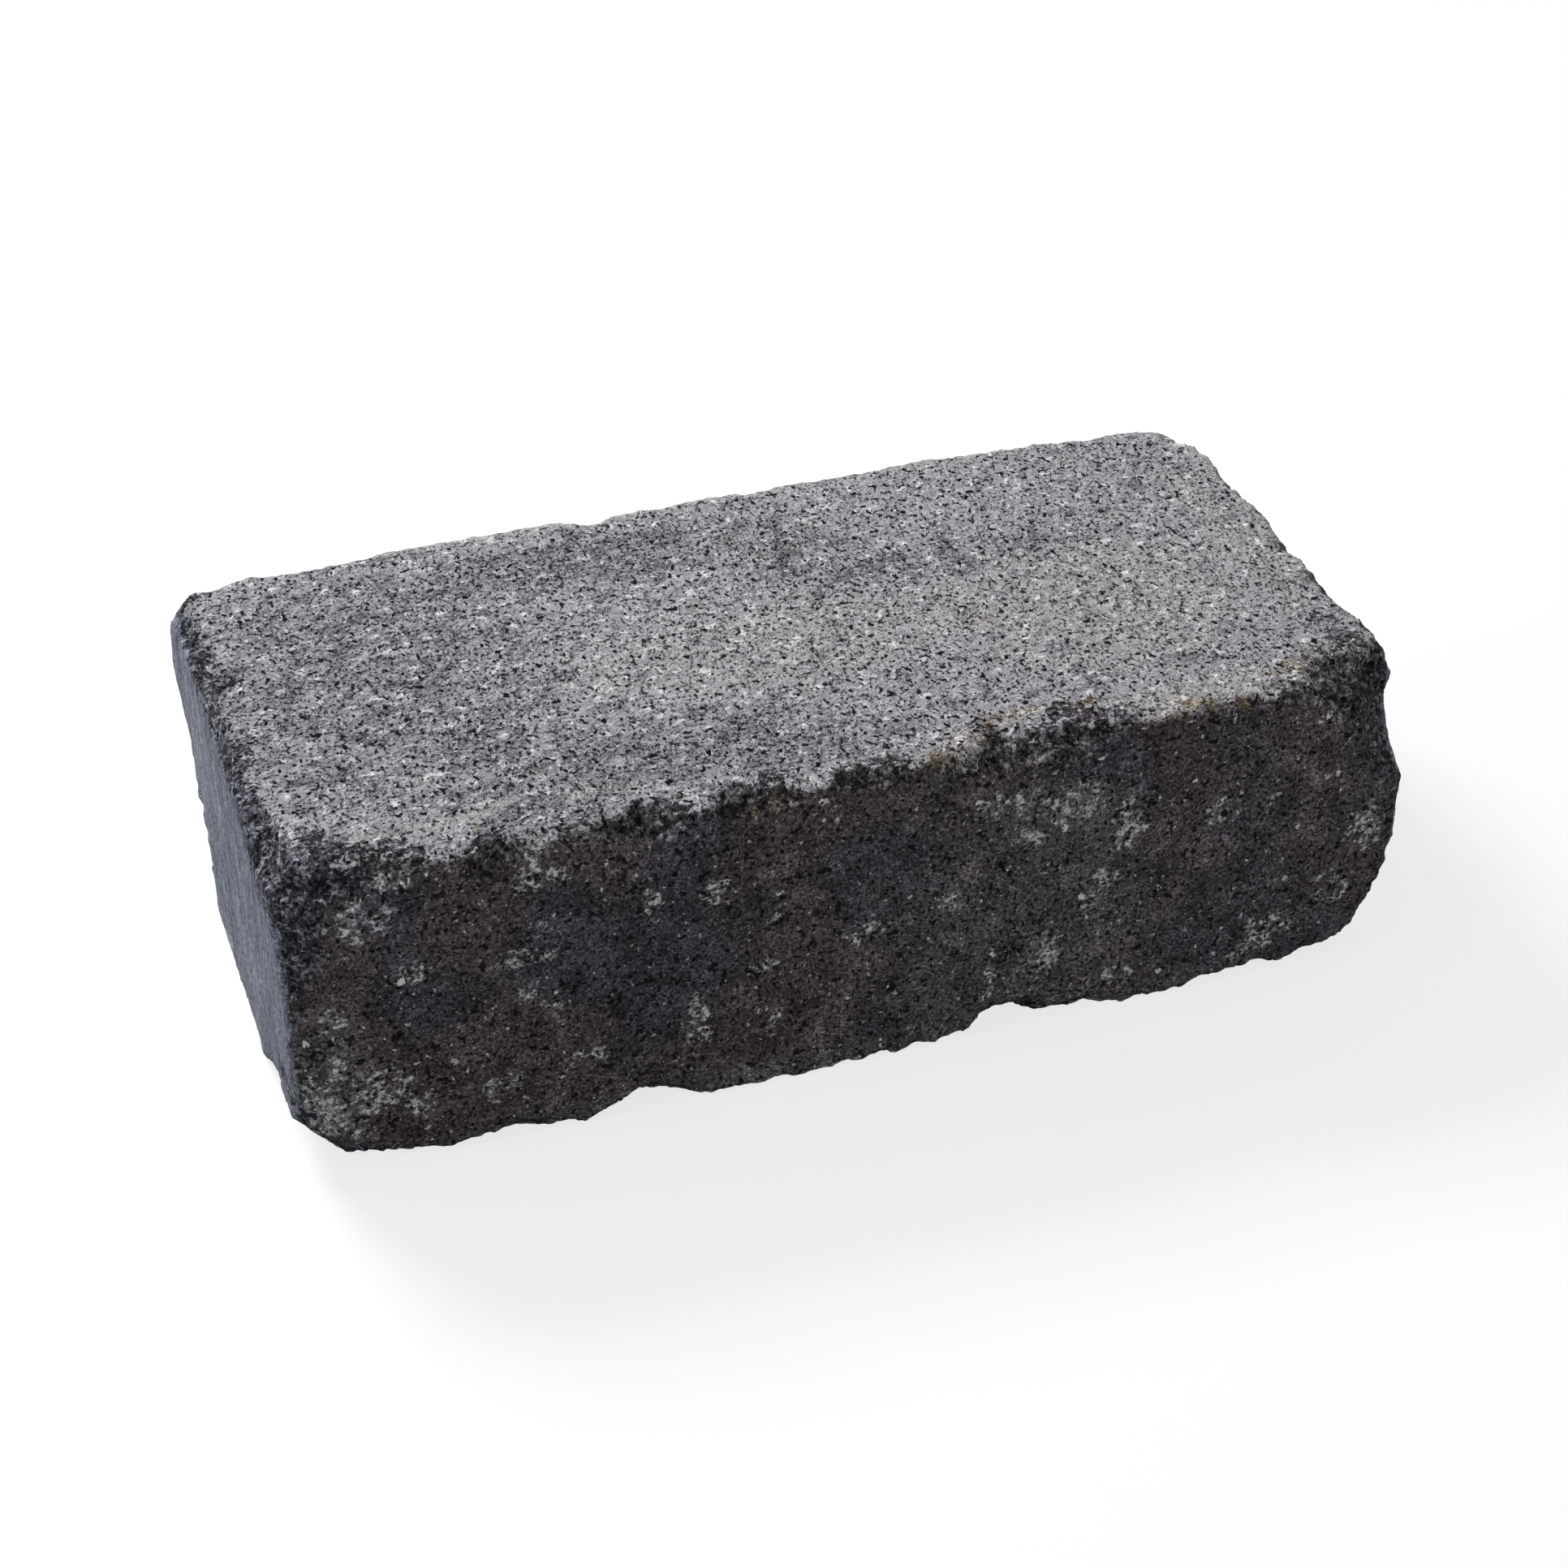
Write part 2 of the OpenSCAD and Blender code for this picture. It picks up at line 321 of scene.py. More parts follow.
# %% Coarse and dusty stretches
COARSE = {
    "bed": [(40, 85, 120, 150, 0.45), (62, 47, 32, 28, 0.7), (104, 126, 110, 34, 0.6),
            (162, 116, 44, 50, 0.45), (205, 95, 110, 20, 0.45), (100, 28, 130, 38, 0.5),
            (66, 12, 40, 20, 0.6), (150, 16, 60, 14, 0.5)],
}
DUSTY = {
    "wall": [(190, 30, 110, 110, 0.8), (8, 30, 24, 70, 0.8), (262, 42, 90, 100, 0.45),
             (75, 85, 40, 16, 0.4), (198, 66, 64, 30, 1.1), (150, 0, 400, 22, 1.0)],
    "bed": [(150, 68, 170, 56, 0.35), (246, 9, 60, 18, 0.6), (60, 17, 120, 8, 0.5),
            (235, 60, 110, 90, 0.4), (286, 80, 24, 110, 0.4), (282, 9, 28, 28, 0.9)],
    "end": [(70, 12, 160, 60, 1.0), (110, 45, 80, 90, 0.7), (30, 34, 50, 34, 0.8)],
}
print("coarse ovals", len(COARSE["bed"]), "and dusty ones", sum(map(len, DUSTY.values())))

# %% [markdown]
# ## Laying the marks
# The top, the front and the left end have their marks where they are known to be. Nothing is
# known of the faces opposite, so they take the same marks turned half round, which gives them
# the same character without a mirror image. Each kind of mark becomes an attribute with one
# value a point. The points are close enough for that, because the material tears the borders
# anyway.


# %% Lay the ovals on the block
SOLID_PART = 0.35
FADED_OUT = 1.25
FACE_SKIN = (2, 6)


def lay_ovals(across, up, ovals):
    """The strongest of the ovals at each point. Places are millimetres in the face."""
    laid = np.zeros(len(across), np.float32)
    for middle_x, middle_y, width, height, strength in ovals:
        reach = np.hypot((across - middle_x) / width, (up - middle_y) / height) * 2
        laid = np.maximum(laid, strength * (1 - rise(reach, SOLID_PART, FADED_OUT)))
    return laid


def lay_on_pair(ovals, across, up, inward):
    """Lays the ovals on one face, and turned half round on the face opposite it."""
    here = lay_ovals(across, up, ovals) * (1 - rise(inward, *FACE_SKIN))
    across, up, inward = across.max() - across, up.max() - up, inward.max() - inward
    return np.maximum(here, lay_ovals(across, up, ovals) * (1 - rise(inward, *FACE_SKIN)))


def lay_marks(piece, name, marks):
    """Stores one kind of mark as an attribute of the piece."""
    from_left, from_front, from_base = ((places(piece) - np.array(LOW)) / MM).T
    from_top = from_base.max() - from_base
    on_wall = lay_on_pair(marks.get("wall", []), from_left, from_base, from_front)
    on_bed = lay_on_pair(marks.get("bed", []), from_left, from_front, from_top)
    on_end = lay_on_pair(marks.get("end", []), from_front, from_base, from_left)
    laid = np.maximum(on_wall, np.maximum(on_bed, on_end))
    attribute = piece.data.attributes.new(name, "FLOAT", "POINT")
    attribute.data.foreach_set("value", laid.astype(np.float32))
    print(f"{name}: on {np.mean(laid > 0):.0%} of the points")


for name, marks in (("limy", LIMY), ("soiled_and_shadowed", SOILED_AND_SHADOWED), ("rusty", RUSTY), ("coarse", COARSE),
                    ("dusty", DUSTY)):
    lay_marks(block, name, marks)

# %% [markdown]
# ## Building materials from nodes
# Writing a node tree takes many lines that look alike, so a few helpers do the repeating. One
# adds a node with its inputs set or wired, and the others each stand for a step that a
# concrete needs again and again: a sum, a soft threshold, a noise, a mix.


# %% Node helpers
def put(tree, kind, inputs=None, **settings):
    """Adds a shader node, sets its options, and sets or wires its inputs."""
    node = tree.nodes.new("ShaderNode" + kind)
    for name, value in settings.items():
        setattr(node, name, value)
    for key, value in (inputs or {}).items():
        if isinstance(value, bpy.types.NodeSocket):
            tree.links.new(value, node.inputs[key])
        else:
            node.inputs[key].default_value = value
    return node


def maths(tree, operation, *values, clamp=False):
    """One arithmetic step. Values are numbers or sockets."""
    node = put(tree, "Math", dict(enumerate(values)), operation=operation, use_clamp=clamp)
    return node.outputs[0]


def vectors(tree, operation, *values):
    """One step of arithmetic on vectors. Values are vectors or sockets."""
    return put(tree, "VectorMath", dict(enumerate(values)), operation=operation).outputs[0]


def product(tree, first, *others):
    """Several fields multiplied."""
    for field in others:
        first = maths(tree, "MULTIPLY", first, field)
    return first


def strongest(tree, first, *others):
    """The greatest of several fields at each place."""
    for field in others:
        first = maths(tree, "MAXIMUM", first, field)
    return first


def weighted(tree, *pairs):
    """A sum of fields, each given with its weight."""
    total = maths(tree, "MULTIPLY", *pairs[0])
    for field, weight in pairs[1:]:
        total = maths(tree, "MULTIPLY_ADD", field, weight, total)
    return total


def off_centre(tree, field):
    """A field that runs from 0 to 1, moved to run from -0.5 to 0.5."""
    return maths(tree, "SUBTRACT", field, 0.5)


def ramp(tree, value, low, high, to_low=0.0, to_high=1.0):
    """Carries a value from low..high to to_low..to_high, with soft ends."""
    node = put(tree, "MapRange", {"Value": value, "From Min": low, "From Max": high,
                                  "To Min": to_low, "To Max": to_high},
               interpolation_type="SMOOTHSTEP")
    return node.outputs["Result"]


def noise(tree, place, size, detail=2.0, roughness=0.5, output="Fac"):
    """Soft noise whose lumps are about this size in metres."""
    node = put(tree, "TexNoise", {"Vector": place, "Scale": 1 / size, "Detail": detail,
                                  "Roughness": roughness})
    return node.outputs[output]


def elsewhere(tree, place, shift):
    """The same space moved aside, so that a second texture doesn't repeat the first."""
    return vectors(tree, "ADD", place, (shift, shift, shift))


MIX_SOCKETS = {"RGBA": (6, 7, 2), "FLOAT": (2, 3, 0)}


def blend(tree, share, first, second, kind="RGBA", how="MIX"):
    """Mixes two colours, or two numbers. The Mix node has sockets of its own for each."""
    a, b, result = MIX_SOCKETS[kind]
    node = put(tree, "Mix", {"Factor": share, a: first, b: second}, data_type=kind,
               blend_type=how)
    return node.outputs[result]


def grey(level):
    """A grey colour."""
    return (level, level, level, 1.0)


print("node helpers ready")

# %% [markdown]
# ## Groups
# An effect that is used several times is a node group. It is built once, with named sockets
# for what differs, and placed wherever it is needed with other values. A group here only
# hands over masks, colours and heights, and the shader itself stays in the material.


# %% Opening a group
def open_group(name, inputs, outputs):
    """A new node group. Returns its tree, its inputs as sockets, and its output node."""
    tree = bpy.data.node_groups.new(name, "ShaderNodeTree")
    for label, kind, value in inputs:
        socket = tree.interface.new_socket(label, in_out="INPUT", socket_type="NodeSocket" + kind)
        if value is not None:
            socket.default_value = value
    for label, kind in outputs:
        tree.interface.new_socket(label, in_out="OUTPUT", socket_type="NodeSocket" + kind)
    return tree, tree.nodes.new("NodeGroupInput").outputs, tree.nodes.new("NodeGroupOutput")


print("groups so far:", len(bpy.data.node_groups))

# %% [markdown]
# ## Grains that stand alone
# Pebbles and rusty sand are one effect with different sizes and shares, so they share a
# group. A Voronoi texture fills space with cells. Each cell has a distance to its middle,
# which makes the spot, and a random colour, which decides whether it has one at all, how big
# it is and how strong. A cast face is a cut through that space, as it is through real grains.

# %% The group for single grains
grain, take, grain_out = open_group(
    "Single grains",
    [("Vector", "Vector", None), ("Cell", "Float", 0.002), ("Share", "Float", 0.5),
     ("Radius", "Float", 0.4), ("Softness", "Float", 0.12), ("Faintest", "Float", 0.5)],
    [("Mask", "Float")])
cells = put(grain, "TexVoronoi", {"Vector": take["Vector"],
                                  "Scale": maths(grain, "DIVIDE", 1.0, take["Cell"])})
luck = put(grain, "SeparateColor", {"Color": cells.outputs["Color"]}).outputs
there = maths(grain, "LESS_THAN", luck["Red"], take["Share"])
grown = maths(grain, "MULTIPLY", take["Radius"], maths(grain, "ADD", 0.5, luck["Green"]))
filled = ramp(grain, cells.outputs["Distance"], grown,
              maths(grain, "SUBTRACT", grown, take["Softness"]))
strength = ramp(grain, luck["Blue"], low=0.0, high=1.0, to_low=take["Faintest"])
grain.links.new(product(grain, filled, there, strength), grain_out.inputs["Mask"])
print("group", grain.name, len(grain.nodes), "nodes")

# %% [markdown]
# ## Ragged spots
# Pits are gaps left between grains, and crusts of lime are splashes, so neither has a shape of
# its own. A noise cut off at a level gives both: only its peaks show, and their outlines
# run on as they like. The higher the level, the fewer and the smaller the spots, and the
# more detail the noise has, the more ragged they are.

# %% The group for ragged spots
spot, take, spot_out = open_group(
    "Ragged spots",
    [("Vector", "Vector", None), ("Size", "Float", 0.001), ("Level", "Float", 0.6),
     ("Softness", "Float", 0.03), ("Detail", "Float", 2.0)],
    [("Mask", "Float")])
peaks = put(spot, "TexNoise", {"Vector": take["Vector"], "Detail": take["Detail"],
                               "Roughness": 0.6,
                               "Scale": maths(spot, "DIVIDE", 1.0, take["Size"])})
above = maths(spot, "SUBTRACT", peaks.outputs["Fac"], take["Level"])
spot.links.new(ramp(spot, above, maths(spot, "MULTIPLY", take["Softness"], -1.0),
                    take["Softness"]), spot_out.inputs["Mask"])
print("group", spot.name, len(spot.nodes), "nodes")

# %% [markdown]
# ## The finish of one face
# All faces are the same concrete, so the same grain runs through all of them. What differs is
# how much of it shows: a bed face is open and pitted under a grey haze, a wall face is dark
# and close, an end was wiped smooth by the mould, and broken concrete shows all its grit.
# This group turns the shared fields into one face's colour and height. The paste is shaded by
# the tones of its grains, and rust, pale grains and pits then cover it in that order. A pit's
# colour is painted shadow, standing for the shade that falls in a real hollow.
# The shading is an exponent, so that a grain is as much darker as another is lighter.

# %% The group for a face's finish
face, take, face_out = open_group(
    # The pit colour is painted shade: the dark a hollow would hold, laid into the colour.
    "Face finish",
    [("Paste", "Color", grey(0.3)), ("Cloudy paste", "Color", grey(0.3)),
     ("Cloud", "Float", 0.5), ("Grain tone", "Float", 0.5), ("Mottle", "Float", 0.5),
     ("Contrast", "Float", 1.0), ("Mottle amount", "Float", 0.5),
     ("Pits", "Float", 0.0), ("Pit amount", "Float", 1.0), ("Pit shadow colour", "Color", grey(0.02)),
     ("Pit depth", "Float", 0.5), ("Grains", "Float", 0.0), ("Grain amount", "Float", 1.0),
     ("Grain colour", "Color", grey(0.5)), ("Grain height", "Float", 0.15),
     ("Rust", "Float", 0.0), ("Rust amount", "Float", 1.0),
     ("Rust colour", "Color", (0.3, 0.16, 0.06, 1.0)), ("Relief", "Float", 0.5),
     ("Relief height", "Float", 0.2)],
    [("Colour", "Color"), ("Height", "Float")])
mottling = maths(face, "MULTIPLY", off_centre(face, take["Mottle"]), take["Mottle amount"])
shade = maths(face, "EXPONENT", maths(face, "MULTIPLY_ADD", off_centre(face, take["Grain tone"]),
                                      take["Contrast"], mottling))
shade_colour = put(face, "CombineColor", {"Red": shade, "Green": shade, "Blue": shade})
paste = blend(face, 1.0, blend(face, take["Cloud"], take["Paste"], take["Cloudy paste"]),
              shade_colour.outputs[0], how="MULTIPLY")
rusted_paste = blend(face, maths(face, "MULTIPLY", take["Rust"], take["Rust amount"]), paste,
                     take["Rust colour"])
grains = maths(face, "MULTIPLY", take["Grains"], take["Grain amount"], clamp=True)
grained = blend(face, grains, rusted_paste, take["Grain colour"])
pits = maths(face, "MULTIPLY", take["Pits"], take["Pit amount"], clamp=True)
face.links.new(blend(face, pits, grained, take["Pit shadow colour"]), face_out.inputs["Colour"])
raised = maths(face, "MULTIPLY_ADD", grains, take["Grain height"],
               maths(face, "MULTIPLY", take["Relief"], take["Relief height"]))
sunk = maths(face, "MULTIPLY", pits, take["Pit depth"])
face.links.new(maths(face, "SUBTRACT", raised, sunk), face_out.inputs["Height"])
print("group", face.name, len(face.nodes), "nodes")

# %% [markdown]
# ## The concrete
# The material first measures where a point lies: how deep under the mould's flats, and which
# flat is nearest. Both come from Object coordinates, so the finish is fixed to the block.

# %% Where a point lies
concrete = bpy.data.materials.new("charcoal_concrete")
concrete.use_nodes = True
tree = concrete.node_tree
tree.nodes.clear()
place = put(tree, "TexCoord").outputs["Object"]
centred = vectors(tree, "SUBTRACT", place, MIDDLE)
to_flats = vectors(tree, "SUBTRACT", HALF, vectors(tree, "ABSOLUTE", centred))
flats = put(tree, "SeparateXYZ", {"Vector": to_flats}).outputs
depth = maths(tree, "MINIMUM", flats["X"], maths(tree, "MINIMUM", flats["Y"], flats["Z"]))
print("depth is measured from flats", [round(side / MM, 1) for side in HALF], "mm out")

# %% [markdown]
# ## The grain of the concrete
# Sand and grit come from cells whose space is first warped by a noise. That makes crushed,
# angular shapes of what would otherwise be round. Each cell has a tone of its own, as each
# real grain has, and a finish mixes the tones of silt, sand and grit to its own recipe.


# %% The fields of grain that all finishes share
def warp(space, size, reach):
    """The space pushed about by lumps of this size, up to half the reach each way."""
    lumps = noise(tree, place, size, detail=2.0, roughness=0.6, output="Color")
    push = vectors(tree, "SUBTRACT", lumps, (0.5, 0.5, 0.5))
    return vectors(tree, "MULTIPLY_ADD", push, (reach, reach, reach), space)


def cell_tone(size):
    """A random tone from 0 to 1 for each crushed cell of this size."""
    cells = put(tree, "TexVoronoi", {"Vector": crushed, "Scale": 1 / size})
    return put(tree, "SeparateColor", {"Color": cells.outputs["Color"]}).outputs["Green"]


crushed = warp(place, size=1.1 * MM, reach=0.35 * MM)
bent = warp(crushed, size=2.5 * MM, reach=3.5 * MM)
silt = cell_tone(0.5 * MM)
sand = cell_tone(0.8 * MM)
grit = cell_tone(1.6 * MM)
fine = noise(tree, place, size=0.9 * MM, detail=2.0, roughness=0.7)
torn = noise(tree, place, size=3.2 * MM, detail=3.0, roughness=0.6)
mottle = noise(tree, place, size=9 * MM, detail=3.0, roughness=0.55)
cloud = ramp(tree, noise(tree, place, size=38 * MM, detail=1.0), low=0.38, high=0.62)
bed_tone = weighted(tree, (sand, 0.5), (grit, 0.3), (fine, 0.2))
wall_tone = weighted(tree, (silt, 0.5), (sand, 0.4), (fine, 0.1))
fine_relief = weighted(tree, (fine, 1.0), (torn, 1.6))
print("grain fields made with", len(tree.nodes), "nodes")

# %% [markdown]
# The mould's end plates drew fine upright lines in the ends as the block was pressed out.
# They are the same noise again, in a space squeezed along the height, so that its lumps
# come out long and thin.

# %% Upright lines on the ends
DRAWN_LONG = 0.22

squeezed = vectors(tree, "MULTIPLY", bent, (1.0, 1.0, DRAWN_LONG))
lines = noise(tree, squeezed, size=0.9 * MM, roughness=0.6)
broad_lines = noise(tree, squeezed, size=5 * MM)
end_tone = weighted(tree, (lines, 0.4), (broad_lines, 0.2), (fine, 0.4))
print("lines are", round(1 / DRAWN_LONG, 1), "times as long as wide")

# %% [markdown]
# ## Tearing the marks' borders
# A listed mark has a soft oval border, and no stain has that. So noise is added to each
# mark and the sum is cut between two levels, which breaks the border up. Where nothing is
# laid the noise is held back, or it would make marks of its own there.


# %% The marks with torn borders
def laid_by_hand(name, low, high, breaking=1.0):
    """A listed mark's attribute with its border torn by the noise."""
    laid = put(tree, "Attribute", attribute_name=name).outputs["Fac"]
    held_back = ramp(tree, laid, low=0.0, high=0.2, to_high=breaking)
    torn_off = maths(tree, "MULTIPLY", broken_up, held_back)
    return ramp(tree, maths(tree, "ADD", laid, torn_off), low, high)


broken_up = weighted(tree, (off_centre(tree, torn), 3.5), (off_centre(tree, grit), 0.5))
limy = laid_by_hand("limy", low=0.2, high=1.0, breaking=1.6)
soiled_and_shadowed = laid_by_hand("soiled_and_shadowed", low=0.43, high=0.57)
rusted = laid_by_hand("rusty", low=0.3, high=0.7)
dusty = laid_by_hand("dusty", low=0.0, high=1.0, breaking=0.5)
laid_coarse = put(tree, "Attribute", attribute_name="coarse").outputs["Fac"]
mottled_coarse = weighted(tree, (laid_coarse, 1.0), (off_centre(tree, mottle), 3.0))
coarse = ramp(tree, mottled_coarse, low=-0.2, high=1.1)
print("marks with torn borders:", ["limy", "soiled_and_shadowed", "rusty", "dusty", "coarse"])

# %% [markdown]
# ## Pits and pale grains
# Pits, white grit and specks use the group of ragged spots, and pebbles and rusty sand the
# group of single grains, each in a space of its own. The bed's pits come in two sizes, and
# the small ones get commoner where the bed is coarse. They are stretched a little across the
# block, the way the filling box swept the mortar. The wall has pinholes and a few larger holes.


# %% Pits, white grit, pebbles and rusty sand
def spots(place, size, level, softness, detail=2.0):
    """Ragged spots of this size. The level says how rare they are."""
    return put(tree, "Group", {"Vector": place, "Size": size, "Level": level,
                               "Softness": softness, "Detail": detail},
               node_tree=spot).outputs["Mask"]


def lone_grains(place, cell, share, radius, softness, faintest):
    """Grains of which only this share of the cells holds one."""
    return put(tree, "Group", {"Vector": place, "Cell": cell, "Share": share, "Radius": radius,
                               "Softness": softness, "Faintest": faintest},
               node_tree=grain).outputs["Mask"]


def where_coarse(closed, open_):
    """One value where the bed is closed, going over to another where it is coarse."""
    return ramp(tree, coarse, low=0.0, high=1.0, to_low=closed, to_high=open_)


swept = vectors(tree, "MULTIPLY", place, (1.0, 0.7, 1.0))
small_pits = spots(swept, size=0.95 * MM, level=where_coarse(0.64, 0.61), softness=0.1,
                   detail=1.0)
large_pits = spots(elsewhere(tree, swept, 0.83), size=1.7 * MM, level=0.66, softness=0.04,
                   detail=0.8)
pinholes = spots(elsewhere(tree, place, 0.47), size=1.2 * MM, level=0.665, softness=0.06,
                 detail=0.8)
rare_holes = spots(elsewhere(tree, place, 0.29), size=2 * MM, level=0.69, softness=0.04,
                   detail=0.8)
bed_pits = strongest(tree, maths(tree, "MULTIPLY", small_pits, 0.95), large_pits)
wall_pits = strongest(tree, pinholes, rare_holes)
white_grit = spots(elsewhere(tree, place, 0.37), size=3 * MM, level=0.64, softness=0.07)
specks = spots(elsewhere(tree, place, 0.61), size=1.8 * MM, level=0.7, softness=0.06)
pebbles = lone_grains(elsewhere(tree, bent, 0.53), cell=6 * MM, share=0.1, radius=0.14,
                      softness=0.04, faintest=0.4)
rusty_sand = lone_grains(elsewhere(tree, bent, 0.71), cell=4 * MM, share=0.12, radius=0.2,
                         softness=0.08, faintest=0.3)
print("pits and grains made with", len(tree.nodes), "nodes")

# %% [markdown]
# A crust of lime is open grain: it lies thick on some sand and thin on the rest. So its spots
# are multiplied by each grain's tone and by how much lime was laid. A rusty stretch is thin
# only on the darkest grit.

# %% What lies on each face
open_grain = spots(elsewhere(tree, place, 0.19), size=1.5 * MM, level=0.52, softness=0.07)
on_pale_sand = ramp(tree, sand, low=0.0, high=1.0, to_low=0.5, to_high=1.2)
crust_of_lime = product(tree, open_grain, on_pale_sand, limy, limy)
grit_and_pebbles = strongest(tree, white_grit, pebbles)
wall_grains = strongest(tree, specks, pebbles, crust_of_lime)
bed_grains = strongest(tree, grit_and_pebbles, crust_of_lime)
off_dark_grit = ramp(tree, grit, low=0.1, high=0.2, to_low=0.4, to_high=1.0)
crust_of_rust = maths(tree, "MULTIPLY", rusted, off_dark_grit)
bed_rust = strongest(tree, rusty_sand, crust_of_rust)
print("layers on the faces made with", len(tree.nodes), "nodes")

# %% [markdown]
# ## The colours of the paste
# Paste is the cement, pigment and finest sand between the grains. On the beds it is grey with
# a violet cast, and warmer where it is dusty. On the walls it wanders between brown-black and
# blue-black, as pigment does that was never quite mixed in. The ends are blue-grey. Broken
# concrete is darkest, and bluish round the left end. Fields that mix two colours say all
# that, and each mix is given straight to its face below.

# %% Colours that change over the block
# Broken concrete turns bluish within about two centimetres of the left end.
LEFT_END_BAND = (14 * MM, 26 * MM)

end_paste = blend(tree, dusty, (0.183, 0.197, 0.242, 1.0), (0.235, 0.248, 0.293, 1.0))
bed_paste = blend(tree, dusty, (0.432, 0.422, 0.447, 1.0), (0.49, 0.475, 0.467, 1.0))
charcoal = blend(tree, cloud, (0.11, 0.092, 0.1, 1.0), (0.086, 0.08, 0.093, 1.0))
wall_paste = blend(tree, dusty, charcoal, (0.14, 0.128, 0.142, 1.0))
along = put(tree, "SeparateXYZ", {"Vector": centred}).outputs["X"]
bluer_near_left_end = ramp(tree, along, low=LEFT_END_BAND[0] - HALF.x, high=LEFT_END_BAND[1] - HALF.x,
               to_low=1.0, to_high=0.0)
bare = blend(tree, dusty, (0.066, 0.06, 0.067, 1.0), (0.155, 0.144, 0.15, 1.0))
broken_paste = blend(tree, bluer_near_left_end, bare, (0.075, 0.078, 0.092, 1.0))
rust_colour = blend(tree, ramp(tree, torn, low=0.44, high=0.56), (0.48, 0.42, 0.33, 1.0),
                    (0.24, 0.165, 0.105, 1.0))
print("paste colours:", ["end", "bed", "wall", "broken"])

# %% [markdown]
# ## Four finishes
# Here the group for a face's finish is placed four times. Reading down one recipe says what
# that face is like. The end has the strongest contrast, because its lines are faint noise,
# and the shallowest relief, because a steel plate wiped it.

# %% Four finishes from the same grain
closed_by_dust = ramp(tree, dusty, low=0.3, high=0.9, to_low=1.0, to_high=0.4)
# Each face's pit colour below paints the shade that falls in its pits.
FINISHES = {
    "bed": {"Paste": bed_paste, "Cloudy paste": (0.25, 0.258, 0.278, 1.0), "Cloud": coarse,
            "Grain tone": bed_tone, "Contrast": where_coarse(0.9, 1.9), "Mottle amount": 0.6,
            "Pits": bed_pits, "Pit amount": closed_by_dust,
            "Pit shadow colour": (0.01, 0.01, 0.014, 1.0), "Pit depth": 0.8 * MM,
            "Grains": bed_grains, "Grain amount": 1.0, "Grain colour": (0.85, 0.83, 0.85, 1.0),
            "Grain height": 0.2 * MM,
            "Rust": bed_rust, "Rust amount": 0.7, "Rust colour": rust_colour,
            "Relief height": where_coarse(0.8 * MM, 2.0 * MM)},
    "wall": {"Paste": wall_paste, "Cloudy paste": (0.22, 0.22, 0.235, 1.0),
             "Cloud": maths(tree, "MULTIPLY", limy, 0.45),
             "Grain tone": wall_tone, "Contrast": 2.6, "Mottle amount": 2.3,
             "Pits": wall_pits, "Pit amount": 0.9, "Pit shadow colour": grey(0.005),
             "Pit depth": 0.7 * MM,
             "Grains": wall_grains, "Grain amount": 1.0, "Grain colour": (0.95, 0.95, 0.98, 1.0),
             "Grain height": 0.15 * MM,
             "Rust": rusted, "Rust amount": 0.5, "Rust colour": (0.13, 0.085, 0.07, 1.0),
             "Relief height": 0.7 * MM},
    "end": {"Paste": end_paste, "Cloudy paste": (0.165, 0.18, 0.225, 1.0),
            "Cloud": cloud, "Grain tone": end_tone, "Contrast": 7.0, "Mottle amount": 0.4,
            "Pits": bed_pits, "Pit amount": 0.3, "Pit shadow colour": (0.07, 0.075, 0.095, 1.0),
            "Pit depth": 0.2 * MM,
            "Grains": grit_and_pebbles, "Grain amount": 0.12,
            "Grain colour": (0.4, 0.41, 0.44, 1.0), "Grain height": 0.05 * MM,
            "Rust amount": 0.0, "Relief height": 0.25 * MM},
    "broken": {"Paste": broken_paste, "Cloudy paste": (0.24, 0.235, 0.235, 1.0),
               "Cloud": maths(tree, "MULTIPLY", limy, 0.8),
               "Grain tone": bed_tone, "Contrast": 4.4, "Mottle amount": 2.6,
               "Pits": bed_pits, "Pit amount": 0.9, "Pit shadow colour": (0.005, 0.005, 0.008, 1.0),
               "Pit depth": 0.9 * MM,
               "Grains": bed_grains, "Grain amount": 0.8, "Grain colour": (0.58, 0.58, 0.6, 1.0),
               "Grain height": 0.4 * MM,
               "Rust": crust_of_rust, "Rust amount": 0.6, "Rust colour": rust_colour,
               "Relief height": 1.2 * MM},
}
finishes = {}
for name, recipe in FINISHES.items():
    finishes[name] = put(tree, "Group", {"Mottle": mottle, "Relief": fine_relief, **recipe},
                         node_tree=face).outputs
print("finishes", list(finishes))

# %% [markdown]
# ## Which finish goes where
# A point takes the finish of its nearest flat. Noise is added to the comparison, so that the
# finishes meet along a ragged line and not a ruled one. Past a depth of about a millimetre and
# a half the skin is gone, and the broken finish covers all three. The dark soiled and shadowed
# stretches take the dark broken finish as well, and this paints shade into chips and corners.

# %% Share out the finishes
BORDER = 0.3 * MM
TORN_BORDER = 3 * MM
WAVY_BORDER = 10 * MM
SKIN_LOST = (1.4 * MM, 1.8 * MM)
TORN_SKIN = 1.6 * MM

wobble = weighted(tree, (broken_up, TORN_BORDER), (off_centre(tree, mottle), WAVY_BORDER))


def leads(axis, others):
    """1 where this axis's flat is nearer than the other two, with a ragged border."""
    rival = maths(tree, "MINIMUM", flats[others[0]], flats[others[1]])
    lead = maths(tree, "SUBTRACT", rival, flats[axis])
    return ramp(tree, maths(tree, "ADD", lead, wobble), -BORDER, BORDER)


is_end = leads("X", "YZ")
is_bed = leads("Z", "XY")
torn_depth = weighted(tree, (depth, 1.0), (broken_up, TORN_SKIN))
# Soiled and shadowed stretches get the dark broken finish; in shaded chips it is painted shadow.
is_broken = strongest(tree, ramp(tree, torn_depth, *SKIN_LOST), soiled_and_shadowed)


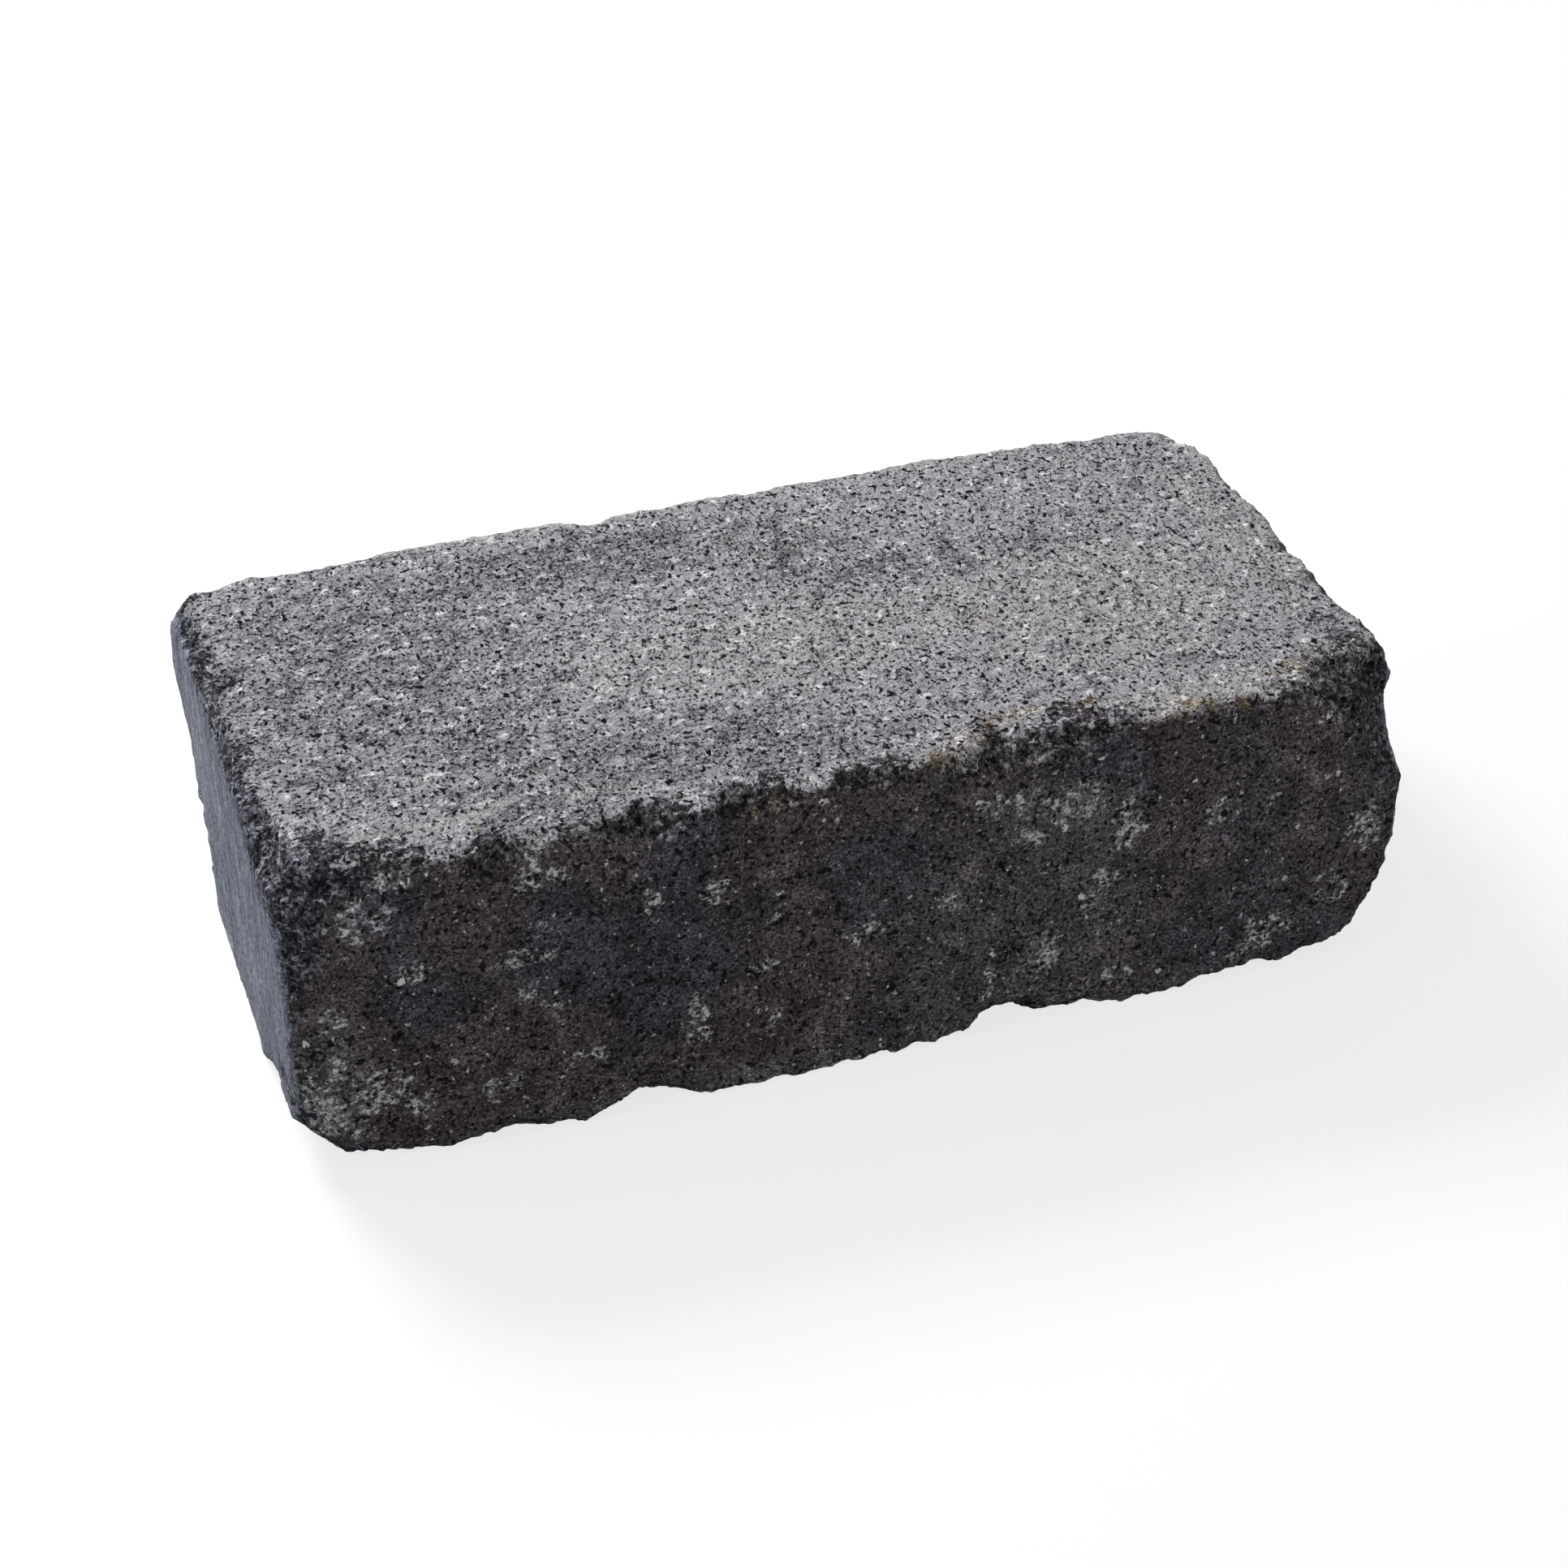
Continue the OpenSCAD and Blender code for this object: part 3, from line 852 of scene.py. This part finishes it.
def by_place(output, kind):
    """Picks one output of the four finishes by the place on the block."""
    found = finishes["wall"][output]
    for share, name in ((is_end, "end"), (is_bed, "bed"), (is_broken, "broken")):
        found = blend(tree, share, found, finishes[name][output], kind)
    return found


colour = by_place("Colour", "RGBA")
height = by_place("Height", "FLOAT")
print("the concrete has", len(tree.nodes), "nodes")

# %% [markdown]
# ## The surface
# Concrete is rough to the last grain, so its highlight is spread too wide to be seen. A high
# roughness and a very low specular level keep the painted shadow in the pits black. Bump tilts
# the light on each grain and pit, which are too small for the net of points to carry.

# %% The surface, and the piece's place in the part
bump = put(tree, "Bump", {"Height": height, "Strength": 1.0, "Distance": 1.0})
surface = put(tree, "BsdfPrincipled", {
    "Base Color": colour, "Roughness": 0.95, "Specular IOR Level": 0.04,
    "Normal": bump.outputs["Normal"]})
put(tree, "OutputMaterial", {"Surface": surface.outputs["BSDF"]})
block.data.materials.clear()
block.data.materials.append(concrete)
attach(block, "root")
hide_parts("block")
report(block, "finished block")

# %% [markdown]
# ## Floor
# The floor is plain and pale. To the camera it is white, with the block's soft shadow kept
# near it and none of the lamps' falling off far away. To the light it is a duller grey, so
# that it doesn't throw more up at the block.

# %% Floor
FLOOR_SIDE = 60
SHADOW_REACH = (0.35, 1.0)


def towards_eye(tree):
    """1 for what the camera sees, straight or in a reflection, and 0 for light on its way."""
    seen = put(tree, "LightPath").outputs
    return strongest(tree, seen["Is Camera Ray"], seen["Is Glossy Ray"],
                     seen["Is Transmission Ray"])


bpy.ops.object.select_all(action="DESELECT")
bpy.ops.mesh.primitive_plane_add(size=FLOOR_SIDE, location=(0, 0, 0))
floor = bpy.context.active_object
floor.name = "floor"
paper = bpy.data.materials.new("pale_floor")
paper.use_nodes = True
ground = paper.node_tree
ground.nodes.clear()
away = put(ground, "VectorMath", {0: put(ground, "TexCoord").outputs["Object"]},
           operation="LENGTH").outputs["Value"]
matt = put(ground, "BsdfDiffuse", {"Color": grey(0.35)})
shadowed = put(ground, "BsdfDiffuse", {"Color": grey(0.3)})
near_white = put(ground, "Emission", {"Color": grey(1.0), "Strength": 0.75})
white = put(ground, "Emission", {"Color": grey(1.0), "Strength": 1.0})
lit = put(ground, "AddShader", {0: shadowed.outputs[0], 1: near_white.outputs[0]})
faded = put(ground, "MixShader", {0: ramp(ground, away, *SHADOW_REACH), 1: lit.outputs[0],
                                  2: white.outputs[0]})
sheet = put(ground, "MixShader", {0: towards_eye(ground), 1: matt.outputs[0],
                                  2: faded.outputs[0]})
put(ground, "OutputMaterial", {"Surface": sheet.outputs[0]})
floor.data.materials.append(paper)
print("floor", FLOOR_SIDE, "m a side")

# %% [markdown]
# ## World and lamps
# The air is white to the camera and a soft grey to the block, so it lights every side a
# little. The lamps are large squares, as in a studio: the key stands behind and above, and
# makes the top pale, the left end middling and the wall face dark. Two weak ones keep the
# end and the wall from going flat.

# %% World and lamps
AIR_LIGHT = 0.27

world = bpy.data.worlds.new("studio")
bpy.context.scene.world = world
world.use_nodes = True
air = world.node_tree
air.nodes.clear()
strength = ramp(air, towards_eye(air), low=0.0, high=1.0, to_low=AIR_LIGHT, to_high=1.0)
backdrop = put(air, "Background", {"Color": grey(1.0), "Strength": strength})
put(air, "OutputWorld", {"Surface": backdrop.outputs[0]})


def softbox(name, place, size, power):
    """A square lamp that faces the block."""
    lamp = bpy.data.lights.new(name, "AREA")
    lamp.size = size
    lamp.energy = power
    holder = bpy.data.objects.new(name, lamp)
    holder.location = place
    holder.rotation_euler = (MIDDLE - Vector(place)).to_track_quat("-Z", "Y").to_euler()
    bpy.context.scene.collection.objects.link(holder)


softbox("key", place=(-0.5, 0.95, 1.1), size=0.5, power=20)
softbox("left_side", place=(-1.5, -0.1, 0.45), size=0.8, power=6)
softbox("front_fill", place=(0.9, -1.6, 0.8), size=1.0, power=3.5)
print("lamps", [lamp.name for lamp in bpy.data.lights])

# %% [markdown]
# ## Camera
# It looks down at the corner where the left end meets the wall face, from nearly a metre
# away with a long lens, so that the block's far side is only a little smaller.

# %% Camera
camera = bpy.data.objects.new("camera", bpy.data.cameras.new("camera"))
bpy.context.scene.collection.objects.link(camera)
camera.location = (-0.2265, -0.6594, 0.5172)
camera.rotation_euler = Vector((0.2704, 0.7795, -0.5651)).to_track_quat("-Z", "Y").to_euler()
camera.data.sensor_width = 36
camera.data.lens = 70.8
bpy.context.scene.camera = camera
bpy.context.scene.view_settings.view_transform = "Standard"
print("camera", round((camera.location - MIDDLE).length, 2), "m from the block")

# %% [markdown]
# ## The end

# %% The end
print("scene built")
